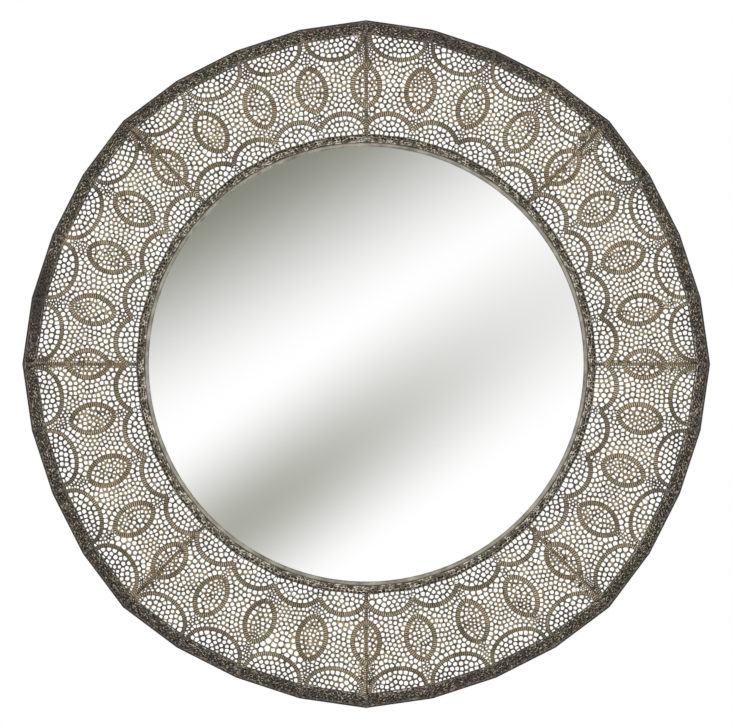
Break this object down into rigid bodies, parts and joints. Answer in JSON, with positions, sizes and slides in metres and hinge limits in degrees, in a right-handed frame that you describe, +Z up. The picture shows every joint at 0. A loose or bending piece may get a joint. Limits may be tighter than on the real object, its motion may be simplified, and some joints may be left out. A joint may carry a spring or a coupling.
{
  "type": "round wall mirror",
  "caption": "Round wall mirror: plain glass in a smooth bezel, set in a wide folded frame of pierced metal lace that stands off the wall and hangs on swinging D-rings.",
  "frame": {"origin": "middle of the back ring's back face, on the wall, on the mirror's axis", "axes": "+X to the right seen from the front, +Y into the wall, +Z up; the glass faces -Y"},
  "size_m": [0.8, 0.038, 0.8],
  "materials": {
    "pierced_lace": "antique pewter and bronze patina",
    "frame_metal": "dark antique patina",
    "zinc_steel": "dull zinc plate",
    "bright_steel": "bright zinc plate",
    "silvered_glass": "polished, silvered",
    "card": "grey-brown card",
    "fibreboard": "smooth brown fibreboard"
  },
  "bodies": {
    "frame": {"lace_panel_1": "pierced_lace", "lace_panel_2": "pierced_lace", "lace_panel_3": "pierced_lace", "lace_panel_4": "pierced_lace", "lace_panel_5": "pierced_lace", "lace_panel_6": "pierced_lace", "lace_panel_7": "pierced_lace", "lace_panel_8": "pierced_lace", "rib_1": "frame_metal", "rib_2": "frame_metal", "rib_3": "frame_metal", "rib_4": "frame_metal", "rib_5": "frame_metal", "rib_6": "frame_metal", "rib_7": "frame_metal", "rib_8": "frame_metal", "retaining_tab_1": "zinc_steel", "retaining_tab_2": "zinc_steel", "retaining_tab_3": "zinc_steel", "retaining_tab_4": "zinc_steel", "retaining_tab_5": "zinc_steel", "retaining_tab_6": "zinc_steel", "retaining_tab_7": "zinc_steel", "retaining_tab_8": "zinc_steel", "hanger_left": "zinc_steel", "hanger_right": "zinc_steel", "back_ring": "frame_metal", "mirror_band": "frame_metal", "mirror_glass": "silvered_glass", "liner_sheet": "card", "backing_board": "fibreboard", "tab_screws": "bright_steel", "hanger_screws": "bright_steel"},
    "d_ring_left": {"d_ring_left": "bright_steel"},
    "d_ring_right": {"d_ring_right": "bright_steel"}
  },
  "joints": [
    {"name": "d_ring_left_swing", "type": "hinge", "parent": "frame", "child": "d_ring_left", "pos_m": [-0.15, -0.00992, 0.12], "axis": [1, 0, 0], "range_deg": [0, 180]},
    {"name": "d_ring_right_swing", "type": "hinge", "parent": "frame", "child": "d_ring_right", "pos_m": [0.15, -0.00992, 0.12], "axis": [1, 0, 0], "range_deg": [0, 180]}
  ]
}
